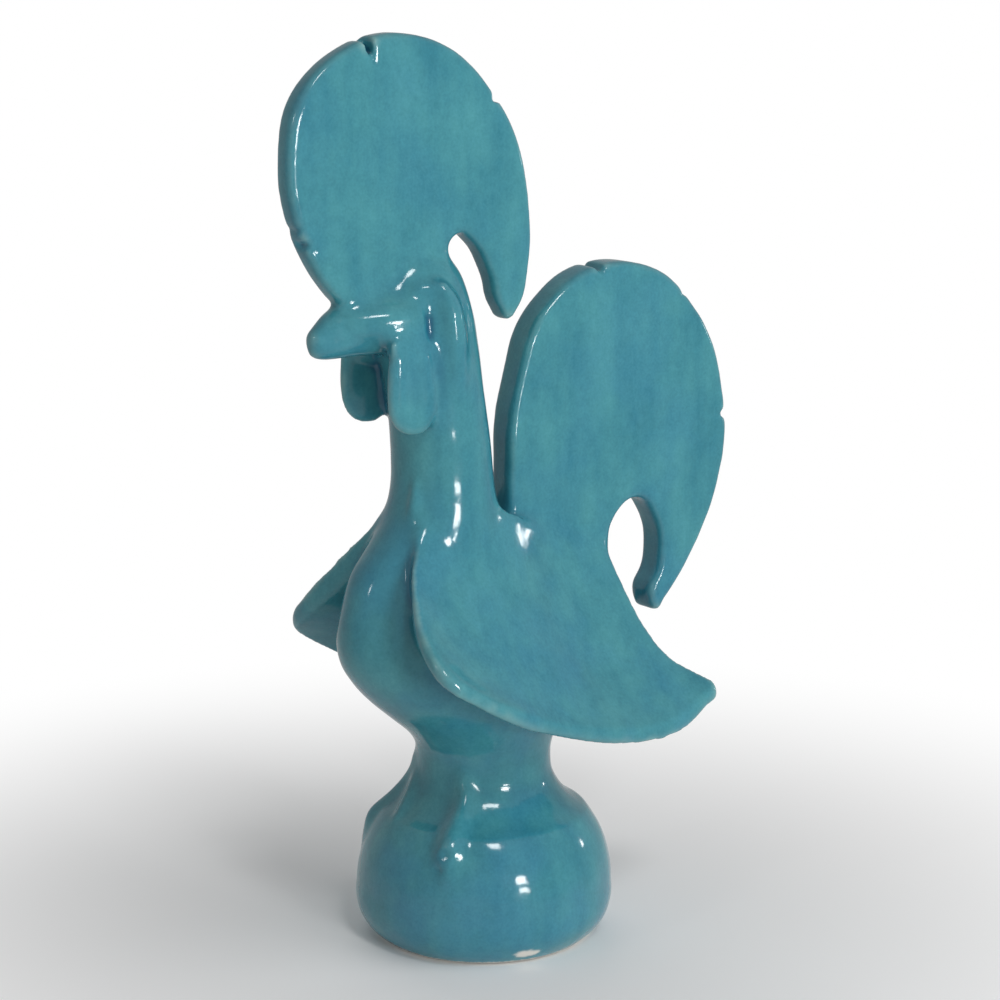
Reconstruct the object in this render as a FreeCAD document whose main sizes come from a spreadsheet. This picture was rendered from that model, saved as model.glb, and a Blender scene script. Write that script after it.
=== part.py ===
# Rooster of Barcelos in glazed earthenware, about 300 mm tall, built from the clay parts that
# the potter makes one by one and joins while they are damp.
# Millimetres. +Z is up, the rooster faces -Y and its left side is +X. The origin is the centre
# of the ring that the foot stands on.
import FreeCAD, Part
import math
import os
import re
import Sketcher

SIZES = {
    # Thrown foot, a hollow bell open below
    "foot_contact": 34.5,
    "foot_rim": 6.0,
    "foot_belly": 42.6,
    "foot_belly_rise": 18.0,
    "foot_shoulder": 34.5,
    "foot_shoulder_rise": 43.0,
    "foot_wall": 6.5,
    "waist": 22.5,
    "waist_rise": 57.0,
    "foot_rise": 62.0,
    # Hollow body with the neck and head in one piece
    "breast_rise": 78.0,
    "breast_long": 46.0,
    "breast_wide": 34.0,
    "body_wall": 7.0,
    "neck_rise": 72.0,
    "neck_half": 16.1,
    "neck_set": 16.0,
    "neck_lean": 8.0,
    "head_rise": 20.0,
    # Comb, a slab with a hook at the back
    "comb_front": 74.6,
    "comb_back": 16.6,
    "comb_seat": 206.0,
    "comb_top": 300.6,
    "comb_thick": 9.4,
    "comb_round": 2.4,
    "comb_nick": 5.0,
    "comb_nick_wide": 3.0,
    # Tail, a thicker slab with a hook at the back
    "tail_front": 6.6,
    "tail_back": 98.2,
    "tail_seat": 102.0,
    "tail_top": 223.5,
    "tail_thick": 12.6,
    "tail_round": 2.4,
    "tail_nick": 5.0,
    "tail_nick_wide": 3.0,
    # Wings, saddle-shaped sheets
    "wing_front": 49.5,
    "wing_back": 67.0,
    "wing_span": 50.8,
    "wing_root": 13.0,
    "wing_crown": 152.0,
    "wing_hem": 74.4,
    "wing_thick": 8.0,
    "wing_edge": 5.0,
    # Beak
    "beak_root": 24.0,
    "beak_tip": 65.5,
    "beak_half": 11.0,
    "beak_level": 211.5,
    "beak_drop": 8.0,
    # Wattles, a pair of dished tongues under the beak
    "wattle_front": 46.2,
    "wattle_half": 9.6,
    "wattle_top": 206.0,
    "wattle_low": 175.5,
    "wattle_set": 13.8,
    "wattle_thick": 6.4,
    "wattle_lip": 3.4,
    "wattle_dish": 1.6,
    # Ear folds, a raised roll down each side of the neck
    "fold_rise": 44.0,
    "fold_low": 180.0,
    "fold_half": 4.2,
    "fold_proud": 2.4,
    # Legs in relief on the front of the foot
    "leg_low": 28.0,
    "leg_half": 5.6,
    "leg_proud": 2.2,
    "leg_turn": 38.0,
    # Overrun of every cut
    "overrun": 5.0,
}

# Stations of the breast: height as a share of breast_rise, centre and half length as shares of
# breast_long, half width as a share of breast_wide.
BREAST_SHARES = (
    (0.08, -0.010, 0.515, 0.685),
    (0.17, -0.050, 0.620, 0.77),
    (0.27, -0.110, 0.765, 0.87),
    (0.40, -0.165, 0.910, 0.93),
    (0.54, -0.215, 0.955, 0.87),
    (0.69, -0.260, 0.900, 0.71),
    (0.84, -0.320, 0.765, 0.57),
)
# Stations of the neck and head: height as a share of neck_rise above the breast, lean forward
# as a share of neck_lean, half length and half width as shares of neck_half.
NECK_SHARES = (
    (0.00, 0.10, 1.40, 1.12),
    (0.15, 0.00, 1.10, 1.05),
    (0.36, 0.05, 1.02, 1.01),
    (0.57, 0.28, 1.00, 0.98),
    (0.80, 0.60, 1.00, 0.96),
    (1.00, 0.88, 1.02, 0.90),
)
# Dome of the head: height as a share of head_rise above the neck, half length and half width
# as shares of neck_half.
HEAD_SHARES = (
    (0.45, 0.93, 0.72),
    (0.80, 0.70, 0.46),
    (1.00, 0.42, 0.26),
)
# Hollow of the body: height as a share of breast_rise, centre and half length as shares of
# breast_long, half width as a share of breast_wide, all less the wall.
HOLLOW_SHARES = (
    (0.08, -0.010, 0.515, 0.685),
    (0.27, -0.110, 0.745, 0.83),
    (0.50, -0.200, 0.945, 0.88),
    (0.70, -0.260, 0.830, 0.69),
    (0.88, -0.340, 0.540, 0.47),
)

# Comb outline from its front corner over the top to the hook and the slot: distance back as a
# share of the comb's length, height as a share of its rise, and whether it is a corner.
COMB_SHARES = (
    (0.191, 0.128, True),
    (0.043, 0.351, False),
    (0.000, 0.543, False),
    (0.074, 0.830, False),
    (0.290, 0.972, False),
    (0.596, 0.970, False),
    (0.851, 0.777, False),
    (0.989, 0.447, False),
    (0.995, 0.191, False),
    (0.949, 0.053, False),
    (0.900, 0.013, False),
    (0.864, 0.053, False),
    (0.820, 0.181, False),
    (0.748, 0.290, False),
    (0.695, 0.321, False),
    (0.655, 0.289, False),
    (0.662, 0.223, False),
    (0.700, 0.117, False),
    (0.700, 0.000, True),
    (0.440, 0.000, True),
)
# Nicks in the comb: place along the length and the rise, and the direction that the nick cuts
# in, as shares of its depth.
COMB_NICK_SHARES = (
    (0.312, 0.995, 0.15, -1.0),
    (0.852, 0.772, -0.70, -0.7),
    (0.024, 0.368, 1.00, 0.1),
)
# Tail outline from its front foot over the top to the hook and the slot, in the same way.
TAIL_SHARES = (
    (0.000, 0.132, True),
    (0.000, 0.395, False),
    (0.031, 0.675, False),
    (0.146, 0.881, False),
    (0.400, 0.995, False),
    (0.640, 0.976, False),
    (0.857, 0.842, False),
    (0.990, 0.593, False),
    (0.975, 0.354, False),
    (0.850, 0.156, False),
    (0.725, 0.030, False),
    (0.677, -0.006, False),
    (0.645, 0.033, False),
    (0.691, 0.140, False),
    (0.676, 0.250, False),
    (0.570, 0.333, False),
    (0.482, 0.287, False),
    (0.458, 0.198, False),
    (0.455, 0.033, True),
    (0.302, -0.058, True),
)
# Nicks in the tail, given like the comb's.
TAIL_NICK_SHARES = (
    (0.400, 0.995, 0.15, -1.0),
    (0.800, 0.905, -0.70, -0.7),
    (0.996, 0.540, -1.00, 0.0),
)
# Ribs of the wing sheet from front to back: place along the wing, inner and outer distance from
# the middle as shares of wing_root and wing_span, their heights as shares of the drop from
# wing_crown to wing_hem, and the bulge of the hollow between them.
WING_SHARES = (
    (-0.06, 1.00, 1.02, 0.20, 0.605, 0.12),
    (0.10, 1.00, 1.04, 0.10, 0.690, 0.14),
    (0.27, 1.00, 1.03, 0.02, 0.825, 0.15),
    (0.42, 0.95, 1.02, 0.05, 0.910, 0.15),
    (0.58, 0.60, 1.02, 0.15, 0.970, 0.15),
    (0.74, 0.48, 1.00, 0.22, 1.000, 0.14),
    (0.88, 0.46, 0.94, 0.34, 0.970, 0.09),
    (1.03, 0.46, 0.88, 0.52, 0.890, 0.04),
)
# Plan of the wing from the root of its front edge round to the root of its back edge: distance
# from the middle as a share of wing_span, place along the wing, and whether it is a corner.
WING_PLAN_SHARES = (
    (0.00, 0.140, True),
    (0.16, 0.140, False),
    (0.40, 0.064, False),
    (0.66, 0.018, False),
    (0.92, 0.034, False),
    (0.990, 0.115, False),
    (1.00, 0.280, False),
    (1.00, 0.500, False),
    (0.95, 0.750, False),
    (0.86, 0.940, False),
    (0.805, 0.998, False),
    (0.72, 0.975, False),
    (0.53, 0.885, False),
    (0.28, 0.836, False),
    (0.00, 0.820, True),
)
# Beak from the head to its tip: place along the beak, drop as a share of beak_drop, and half
# height and half width as shares of beak_half.
BEAK_SHARES = (
    (0.00, 0.00, 1.12, 1.08),
    (0.28, 0.02, 1.06, 0.98),
    (0.55, 0.20, 0.90, 0.78),
    (0.78, 0.58, 0.64, 0.56),
    (0.93, 0.90, 0.38, 0.35),
    (1.00, 1.00, 0.16, 0.15),
)
# Wattle from its top down: height as a share of its rise, middle further back and half length
# as shares of wattle_half, thickness as a share of wattle_thick.
WATTLE_SHARES = (
    (1.00, -0.10, 0.70, 1.00),
    (0.80, -0.06, 0.82, 1.00),
    (0.52, 0.00, 0.96, 1.00),
    (0.28, 0.06, 1.00, 0.98),
    (0.12, 0.08, 0.82, 0.84),
    (0.03, 0.10, 0.52, 0.56),
    (0.00, 0.10, 0.22, 0.30),
)
# Ear fold from its top down: height as a share of its rise, set back from the neck's axis and
# half length as shares of fold_half, standing proud as a share of fold_proud.
FOLD_SHARES = (
    (1.00, -0.30, 0.45, 0.05),
    (0.78, 0.00, 1.00, 0.80),
    (0.45, -0.30, 1.00, 1.00),
    (0.18, -0.45, 0.75, 0.70),
    (0.00, -0.50, 0.40, 0.20),
)
# Leg from the waist down: height as a share of the leg's rise, radius of the foot there as a
# share of foot_belly, half width as a share of leg_half, standing proud as a share of leg_proud.
LEG_SHARES = (
    (1.00, 0.528, 0.60, 0.90),
    (0.80, 0.545, 0.70, 0.95),
    (0.55, 0.720, 0.84, 0.40),
    (0.32, 0.885, 1.00, 0.35),
    (0.12, 0.955, 0.85, 0.60),
    (0.00, 0.975, 0.50, 0.10),
)

# Bulge of the foot's outside between its contact ring, belly, shoulder and waist, as shares of
# half each chord, and the bulge of its inside up to the belly.
FOOT_BULGE_SHARES = (-0.33, -0.17, 0.21)
FOOT_INSIDE_BULGE_SHARE = -0.12
# Slant of the wing's rim across and down as shares of wing_edge, and that of its root both ways
# as a share of wing_thick.
WING_RIM_SHARES = (0.6, 0.8)
WING_ROOT_SHARE = 0.7
# A near round oval is this share as wide as it is long, because an oval can't be quite round.
NEAR_ROUND_SHARE = 0.985
# A stretch that bulges less than this share of half its chord is drawn straight.
STRAIGHT_SHARE = 0.0001

doc = FreeCAD.newDocument("rooster")
sizes = doc.addObject("Spreadsheet::Sheet", "sizes")
for line, (alias, number) in enumerate(SIZES.items(), start=1):
    sizes.set(f"A{line}", alias)
    sizes.set(f"B{line}", str(number))
    sizes.setAlias(f"B{line}", alias)
doc.recompute()


def bound(sum_text):
    """The same sum with its words read from the sheet, for an object's expression."""
    return re.sub(r"[a-z][a-z_]+", lambda word: word.group() if word.group() == "sqrt"
                  else "sizes." + word.group(), sum_text)


def number(sum_text):
    """What a sum of sheet words comes to."""
    return float(sizes.evalExpression(sum_text))


def mix(start, end, share):
    """Sum text for the place a share of the way from start to end."""
    return f"(({start}) + (({end}) - ({start})) * ({share}))"


def new_body(name):
    body = doc.addObject("PartDesign::Body", name)
    body.Label = name
    return body


def new_sketch(body, name, plane, offset="0"):
    """Sketch on one of the body's own origin planes, moved along the plane's normal."""
    sketch = body.newObject("Sketcher::SketchObject", name)
    origin = next(item for item in body.Origin.OriginFeatures if item.Role == plane)
    sketch.AttachmentSupport = (origin, "")
    sketch.MapMode = "FlatFace"
    if offset != "0":
        sketch.setExpression("AttachmentOffset.Base.z", bound(offset))
    return sketch


def tie_point(sketch, shape, point, across, up):
    """Hold a sketch point at the place that two sums of sheet words give."""
    for kind, axis, sum_text in (("DistanceX", -2, across), ("DistanceY", -1, up)):
        if abs(number(sum_text)) < 1e-9:
            sketch.addConstraint(Sketcher.Constraint("PointOnObject", shape, point, axis))
        else:
            rule = Sketcher.Constraint(kind, -1, 1, shape, point, number(sum_text))
            index = sketch.addConstraint(rule)
            sketch.setExpression(f"Constraints[{index}]", bound(sum_text))


def direction(vector):
    unit = FreeCAD.Vector(vector)
    unit.normalize()
    return unit


def headings(places, corners):
    """Direction of the outline at each point, along the circle through it and its neighbours."""
    ways = []
    for index, place in enumerate(places):
        before = place - places[index - 1]
        after = places[(index + 1) % len(places)] - place
        balance = before.Length / after.Length
        ways.append(None if corners[index] else direction(before / balance + after * balance))
    return ways


def arc_bulge(start, end, way):
    """Bulge, as a share of half the chord, of the arc that leaves start in a direction."""
    chord = direction(end - start)
    return math.tan(math.atan2(chord.cross(way).z, chord.dot(way)) / 2)


def smooth_rows(places, corners):
    """Arcs in pairs that meet without a kink at every point that isn't a corner."""
    ways = headings(places, corners)
    rows = []
    for index, start in enumerate(places):
        end = places[(index + 1) % len(places)]
        step = end - start
        chord = direction(step)
        leave = ways[index]
        arrive = ways[(index + 1) % len(places)]
        if leave is None and arrive is None:
            rows.append((start, 0))
            continue
        if leave is None:
            leave = chord * (2 * chord.dot(arrive)) - arrive
        if arrive is None:
            arrive = chord * (2 * chord.dot(leave)) - leave
        along = step.dot(leave + arrive)
        turn = 2 - 2 * leave.dot(arrive)
        reach = step.dot(step) / (along + math.sqrt(along ** 2 + turn * step.dot(step)))
        middle = (start + leave * reach + end - arrive * reach) / 2
        halfway = direction(middle - start)
        halfway = halfway * (2 * halfway.dot(leave)) - leave
        rows.append((start, arc_bulge(start, middle, leave)))
        rows.append((middle, arc_bulge(middle, end, halfway)))
    return rows


def share_outline(sketch, front, back, low, high, shares):
    """Smooth closed outline whose points are shares of a length and of a rise."""
    length = number(f"{back} - ({front})")
    rise = number(f"{high} - ({low})")
    places = [FreeCAD.Vector(along * length, up * rise, 0) for along, up, corner in shares]
    rows = []
    for place, bulge in smooth_rows(places, [corner for along, up, corner in shares]):
        rows.append((mix(front, back, place.x / length), mix(low, high, place.y / rise), bulge))
    draw_outline(sketch, rows)


def draw_outline(sketch, rows):
    """Closed outline of lines and arcs. A row is across, up and the bulge to the next row."""
    places = [FreeCAD.Vector(number(across), number(up), 0) for across, up, bulge in rows]
    ends = []
    for index, (across, up, bulge) in enumerate(rows):
        start = places[index]
        end = places[(index + 1) % len(rows)]
        if abs(bulge) > STRAIGHT_SHARE:
            step = end - start
            middle = (start + end) / 2 + FreeCAD.Vector(-step.y, step.x, 0) * (bulge / 2)
            shape = sketch.addGeometry(Part.Arc(start, middle, end), False)
        else:
            shape = sketch.addGeometry(Part.LineSegment(start, end), False)
        first = 1 if (sketch.getPoint(shape, 1) - start).Length < (end - start).Length / 2 else 2
        ends.append((shape, first, 3 - first))
    for index, (shape, first, last) in enumerate(ends):
        other, other_first, other_last = ends[(index + 1) % len(ends)]
        sketch.addConstraint(Sketcher.Constraint("Coincident", shape, last, other, other_first))
        tie_point(sketch, shape, first, rows[index][0], rows[index][1])
    for index, (across, up, bulge) in enumerate(rows):
        if abs(bulge) > STRAIGHT_SHARE:
            next_across, next_up, next_bulge = rows[(index + 1) % len(rows)]
            chord = f"sqrt((({next_across}) - ({across}))^2 + (({next_up}) - ({up}))^2)"
            radius = f"{chord} * {(abs(bulge) + 1 / abs(bulge)) / 4}"
            rule = Sketcher.Constraint("Radius", ends[index][0], number(radius))
            place = sketch.addConstraint(rule)
            sketch.setExpression(f"Constraints[{place}]", bound(radius))


def draw_oval(sketch, across, up, half_across, half_up):
    """Ellipse that is longer up the sketch than across it."""
    middle = FreeCAD.Vector(number(across), number(up), 0)
    high = middle + FreeCAD.Vector(0, number(half_up), 0)
    wide = middle + FreeCAD.Vector(number(half_across), 0, 0)
    shape = sketch.addGeometry(Part.Ellipse(high, wide, middle), False)
    sketch.exposeInternalGeometry(shape)
    tie_point(sketch, shape, 3, across, up)
    sketch.addConstraint(Sketcher.Constraint("Vertical", shape + 1))
    for axis, half in ((shape + 1, half_up), (shape + 2, half_across)):
        length = f"2 * ({half})"
        index = sketch.addConstraint(Sketcher.Constraint("Distance", axis, number(length)))
        sketch.setExpression(f"Constraints[{index}]", bound(length))


def loft(body, kind, name, sketches):
    feature = body.newObject(kind, name)
    feature.Profile = sketches[0]
    feature.Sections = sketches[1:]
    feature.Ruled = False
    body.Tip = feature
    return feature


def outer_edges(shape, half):
    """Names of the edges that run round the two flat faces of a slab of a half thickness."""
    names = []
    for index, edge in enumerate(shape.Edges, start=1):
        box = edge.BoundBox
        flat = box.XLength < half / 100
        if flat and abs(abs(box.Center.x) - half) < half / 100:
            names.append(f"Edge{index}")
    return names


def less(name, base, tools):
    """Piece cut to fit the ones that it is pressed onto."""
    piece = doc.addObject("Part::Cut", name)
    piece.Label = name
    piece.Base = base
    if len(tools) > 1:
        joined = doc.addObject("Part::MultiFuse", name + "_seat")
        joined.Shapes = tools
        piece.Tool = joined
    else:
        piece.Tool = tools[0]
    return piece


def mirrored(name, source):
    """The same piece on the rooster's other side."""
    piece = doc.addObject("Part::Mirroring", name)
    piece.Label = name
    piece.Source = source
    piece.Normal = (1, 0, 0)
    piece.Base = (0, 0, 0)
    return piece


def turned_body(name, rows):
    """Solid turned about the upright axis from one half of its section."""
    body = new_body(name)
    profile = new_sketch(body, name + "_profile", "YZ_Plane")
    draw_outline(profile, rows)
    turning = body.newObject("PartDesign::Revolution", name + "_turning")
    turning.Profile = profile
    turning.ReferenceAxis = (profile, ["V_Axis"])
    turning.Angle = 360
    body.Tip = turning
    return body


def make_foot_blank():
    """Bell with a round belly and a drawn-in waist, before hollowing."""
    belly_bulge, shoulder_bulge, waist_bulge = FOOT_BULGE_SHARES
    return turned_body("foot_blank", (
        ("0", "0", 0),
        ("foot_contact", "0", belly_bulge),
        ("foot_belly", "foot_belly_rise", shoulder_bulge),
        ("foot_shoulder", "foot_shoulder_rise", waist_bulge),
        ("waist", "waist_rise", 0),
        ("waist", "foot_rise", 0),
        ("0", "foot_rise", 0),
    ))


def make_foot_hollow():
    """Space inside the foot, one wall away from its outside."""
    belly_bulge, shoulder_bulge, waist_bulge = FOOT_BULGE_SHARES
    return turned_body("foot_hollow", (
        ("0", "0", 0),
        ("foot_contact - foot_rim", "0", FOOT_INSIDE_BULGE_SHARE),
        ("foot_belly - foot_wall", "foot_belly_rise", shoulder_bulge),
        ("foot_shoulder - foot_wall", "foot_shoulder_rise - foot_wall / 2", waist_bulge),
        ("waist - foot_wall", "waist_rise - foot_wall / 2", 0),
        ("waist - foot_wall", "foot_rise", 0),
        ("0", "foot_rise", 0),
    ))


def make_body_blank():
    """Pear-shaped body with the neck drawn up from it and closed by the head, before hollowing."""
    body = new_body("body_blank")
    ovals = []
    base = new_sketch(body, "waist_oval", "XY_Plane", "foot_rise")
    draw_oval(base, "0", "0", f"waist * {NEAR_ROUND_SHARE}", "waist")
    ovals.append(base)
    for index, (rise, centre, long, wide) in enumerate(BREAST_SHARES):
        level = f"foot_rise + breast_rise * {rise}"
        oval = new_sketch(body, f"breast_oval_{index}", "XY_Plane", level)
        draw_oval(oval, "0", f"breast_long * {centre}", f"breast_wide * {wide}",
                  f"breast_long * {long}")
        ovals.append(oval)
    for index, (rise, lean, long, wide) in enumerate(NECK_SHARES):
        level = f"foot_rise + breast_rise + neck_rise * {rise}"
        oval = new_sketch(body, f"neck_oval_{index}", "XY_Plane", level)
        draw_oval(oval, "0", f"-neck_set - neck_lean * {lean}", f"neck_half * {wide}",
                  f"neck_half * {long}")
        ovals.append(oval)
    for index, (rise, long, wide) in enumerate(HEAD_SHARES):
        level = f"foot_rise + breast_rise + neck_rise + head_rise * {rise}"
        oval = new_sketch(body, f"head_oval_{index}", "XY_Plane", level)
        draw_oval(oval, "0", "-neck_set - neck_lean", f"neck_half * {wide}",
                  f"neck_half * {long}")
        ovals.append(oval)
    loft(body, "PartDesign::AdditiveLoft", "body_outside", ovals)
    return body


def make_body_hollow():
    """Space inside the body, open downwards into the foot."""
    body = new_body("body_hollow")
    mouth = new_sketch(body, "hollow_mouth", "XY_Plane", "foot_rise")
    draw_oval(mouth, "0", "0", f"(waist - foot_wall) * {NEAR_ROUND_SHARE}", "waist - foot_wall")
    ovals = [mouth]
    for index, (rise, centre, long, wide) in enumerate(HOLLOW_SHARES):
        level = f"foot_rise + breast_rise * {rise}"
        oval = new_sketch(body, f"hollow_oval_{index}", "XY_Plane", level)
        draw_oval(oval, "0", f"breast_long * {centre}", f"breast_wide * {wide} - body_wall",
                  f"breast_long * {long} - body_wall")
        ovals.append(oval)
    loft(body, "PartDesign::AdditiveLoft", "hollow_space", ovals)
    return body


def make_slab(name, shares, nick_shares, front, back, seat, top, thick, edge_round, nick,
              nick_wide):
    """Upright slab with a rounded edge, a hook at the back and small nicks in its rim."""
    body = new_body(name)
    outline = new_sketch(body, name + "_outline", "YZ_Plane")
    share_outline(outline, front, back, seat, top, shares)
    pad = body.newObject("PartDesign::Pad", name + "_slab")
    pad.Profile = outline
    pad.setExpression("Length", bound(thick))
    pad.SideType = "Symmetric"
    body.Tip = pad
    doc.recompute()
    rim = body.newObject("PartDesign::Fillet", name + "_rim")
    rim.Base = (pad, outer_edges(pad.Shape, number(thick) / 2))
    rim.setExpression("Radius", bound(edge_round))
    body.Tip = rim
    cuts = new_sketch(body, name + "_nicks", "YZ_Plane")
    for along, up, way_along, way_up in nick_shares:
        place = (mix(front, back, along), mix(seat, top, up))
        deep = (f"{place[0]} + {nick} * {way_along}", f"{place[1]} + {nick} * {way_up}")
        out = (f"{place[0]} - {nick} * {way_along}", f"{place[1]} - {nick} * {way_up}")
        left = (f"{out[0]} + {nick_wide} * ({way_up})", f"{out[1]} - {nick_wide} * ({way_along})")
        right = (f"{out[0]} - {nick_wide} * ({way_up})", f"{out[1]} + {nick_wide} * ({way_along})")
        draw_outline(cuts, ((*deep, 0), (*left, 0), (*right, 0)))
    pocket = body.newObject("PartDesign::Pocket", name + "_nick_cut")
    pocket.Profile = cuts
    pocket.Type = "ThroughAll"
    pocket.SideType = "Symmetric"
    body.Tip = pocket
    return body


def make_wing():
    """Left wing: a sheet swept out from neck, back and tail, trimmed to its plan outline."""
    body = new_body("wing_sheet")
    rim_across, rim_down = WING_RIM_SHARES
    ribs = []
    for index, (along, inner, outer, high, low, bulge) in enumerate(WING_SHARES):
        level = mix("-wing_front", "wing_back", along)
        rib = new_sketch(body, f"wing_rib_{index}", "XZ_Plane", f"-({level})")
        root = (f"wing_root * {inner}", mix("wing_crown", "wing_hem", high))
        edge = (f"wing_span * {outer}", mix("wing_crown", "wing_hem", low))
        draw_outline(rib, (
            (root[0], root[1], -bulge),
            (edge[0], edge[1], 0),
            (f"{edge[0]} - wing_edge * {rim_across}", f"{edge[1]} - wing_edge * {rim_down}", bulge),
            (f"{root[0]} - wing_thick * {WING_ROOT_SHARE}",
             f"{root[1]} - wing_thick * {WING_ROOT_SHARE}", 0),
        ))
        ribs.append(rib)
    loft(body, "PartDesign::AdditiveLoft", "wing_loft", ribs)
    trim = new_sketch(body, "wing_plan", "XY_Plane")
    outside = "wing_span + overrun"
    draw_outline(trim, (
        ("-overrun", "-wing_front - overrun * 2", 0),
        (outside, "-wing_front - overrun * 2", 0),
        (outside, "wing_back + overrun * 2", 0),
        ("-overrun", "wing_back + overrun * 2", 0),
    ))
    share_outline(trim, "0", "wing_span", "-wing_front", "wing_back", WING_PLAN_SHARES)
    cut = body.newObject("PartDesign::Pocket", "wing_trim")
    cut.Profile = trim
    cut.Type = "ThroughAll"
    cut.SideType = "Symmetric"
    body.Tip = cut
    return body


def make_beak():
    """Blunt cone that points forward and a little down."""
    body = new_body("beak_cone")
    rings = []
    for index, (along, drop, half_up, half_across) in enumerate(BEAK_SHARES):
        ring = new_sketch(body, f"beak_ring_{index}", "XZ_Plane",
                          mix("beak_root", "beak_tip", along))
        draw_oval(ring, "0", f"beak_level - beak_drop * {drop}", f"beak_half * {half_across}",
                  f"beak_half * {half_up}")
        rings.append(ring)
    loft(body, "PartDesign::AdditiveLoft", "beak_loft", rings)
    return body


def make_wattle():
    """Left wattle: a flat tongue with a raised rim round its dished outer face."""
    body = new_body("wattle_tongue")
    rings = []
    hollows = []
    for index, (rise, back, half, thick) in enumerate(WATTLE_SHARES):
        level = mix("wattle_low", "wattle_top", rise)
        along = f"-wattle_front + wattle_half * {1 + back}"
        ring = new_sketch(body, f"wattle_ring_{index}", "XY_Plane", level)
        draw_oval(ring, "wattle_set", along, f"wattle_thick / 2 * {thick}",
                  f"wattle_half * {half}")
        rings.append(ring)
    loft(body, "PartDesign::AdditiveLoft", "wattle_loft", rings)
    for index, (rise, back, half, thick) in enumerate(WATTLE_SHARES[1:-1]):
        level = mix("wattle_low + wattle_lip", "wattle_top", rise)
        along = f"-wattle_front + wattle_half * {1 + back}"
        ring = new_sketch(body, f"wattle_dish_{index}", "XY_Plane", level)
        draw_oval(ring, "wattle_set + wattle_thick - wattle_dish", along,
                  f"wattle_thick / 2 * {thick}", f"(wattle_half - wattle_lip) * {half}")
        hollows.append(ring)
    loft(body, "PartDesign::SubtractiveLoft", "wattle_hollow", hollows)
    return body


def make_fold():
    """Left ear fold: a roll of clay down the side of the head and neck."""
    body = new_body("fold_roll")
    rings = []
    for index, (rise, back, half, proud) in enumerate(FOLD_SHARES):
        ring = new_sketch(body, f"fold_ring_{index}", "XY_Plane", f"fold_low + fold_rise * {rise}")
        middle = "neck_half - fold_half"
        draw_oval(ring, f"{middle} + fold_proud * {proud}",
                  f"-neck_set - neck_lean * {rise} + fold_half * {back}",
                  f"fold_half * {half} * {NEAR_ROUND_SHARE}", f"fold_half * {half}")
        rings.append(ring)
    loft(body, "PartDesign::AdditiveLoft", "fold_loft", rings)
    return body


def make_leg():
    """Leg pressed onto the front of the foot, made facing -Y and turned to its side."""
    body = new_body("leg_roll")
    rings = []
    for index, (rise, radius, half, proud) in enumerate(LEG_SHARES):
        ring = new_sketch(body, f"leg_ring_{index}", "XY_Plane",
                          mix("leg_low", "foot_rise", rise))
        reach = f"leg_half * {half}"
        draw_oval(ring, "0", f"-foot_belly * {radius} - leg_proud * {proud} + {reach}",
                  f"{reach} * {NEAR_ROUND_SHARE}", reach)
        rings.append(ring)
    loft(body, "PartDesign::AdditiveLoft", "leg_loft", rings)
    body.setExpression("Placement.Rotation.Angle", bound("leg_turn"))
    body.Placement.Rotation = FreeCAD.Rotation(FreeCAD.Vector(0, 0, 1), number("leg_turn"))
    return body


body_blank = make_body_blank()
body_hollow = make_body_hollow()
foot_blank = make_foot_blank()
foot_hollow = make_foot_hollow()
comb_slab = make_slab("comb_slab", COMB_SHARES, COMB_NICK_SHARES, "-comb_front", "comb_back",
                      "comb_seat", "comb_top", "comb_thick", "comb_round", "comb_nick",
                      "comb_nick_wide")
tail_slab = make_slab("tail_slab", TAIL_SHARES, TAIL_NICK_SHARES, "tail_front", "tail_back",
                      "tail_seat", "tail_top", "tail_thick", "tail_round", "tail_nick",
                      "tail_nick_wide")
wing_sheet = make_wing()
beak_cone = make_beak()
wattle_tongue = make_wattle()
fold_roll = make_fold()
leg_roll = make_leg()
doc.recompute()

base_bell = less("base_bell", foot_blank, [foot_hollow])
body_part = less("body", body_blank, [body_hollow])
comb = less("comb", comb_slab, [body_blank])
tail = less("tail", tail_slab, [body_blank])
wing_left = less("wing_left", wing_sheet, [body_blank, tail_slab])
wing_right = mirrored("wing_right", wing_left)
beak = less("beak", beak_cone, [body_blank, comb_slab])
wattle_left = less("wattle_left", wattle_tongue, [body_blank, beak_cone])
wattle_right = mirrored("wattle_right", wattle_left)
ear_fold_left = less("ear_fold_left", fold_roll, [body_blank, comb_slab, beak_cone])
ear_fold_right = mirrored("ear_fold_right", ear_fold_left)
leg_left = less("leg_left", leg_roll, [foot_blank, body_blank])
leg_right = mirrored("leg_right", leg_left)
doc.recompute()

PIECES = [base_bell, body_part, comb, tail, wing_left, wing_right, beak, wattle_left, wattle_right,
          ear_fold_left, ear_fold_right, leg_left, leg_right]
failed = [item.Name for item in doc.Objects if "Invalid" in item.State or "Error" in item.State]
for piece in PIECES:
    if piece.Shape.isNull() or not piece.Shape.isValid():
        failed.append(piece.Label)
if failed:
    raise RuntimeError("failed: " + ", ".join(failed))
os.makedirs("parts", exist_ok=True)
for piece in PIECES:
    print(piece.Label, len(piece.Shape.Solids), "solids", round(piece.Shape.Volume), "mm3")
    piece.Shape.exportStep(os.path.join("parts", piece.Label + ".step"))
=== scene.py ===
import math

import bmesh
import bpy
import numpy as np
from mathutils import Matrix, Vector, noise
from mathutils.bvhtree import BVHTree


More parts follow.
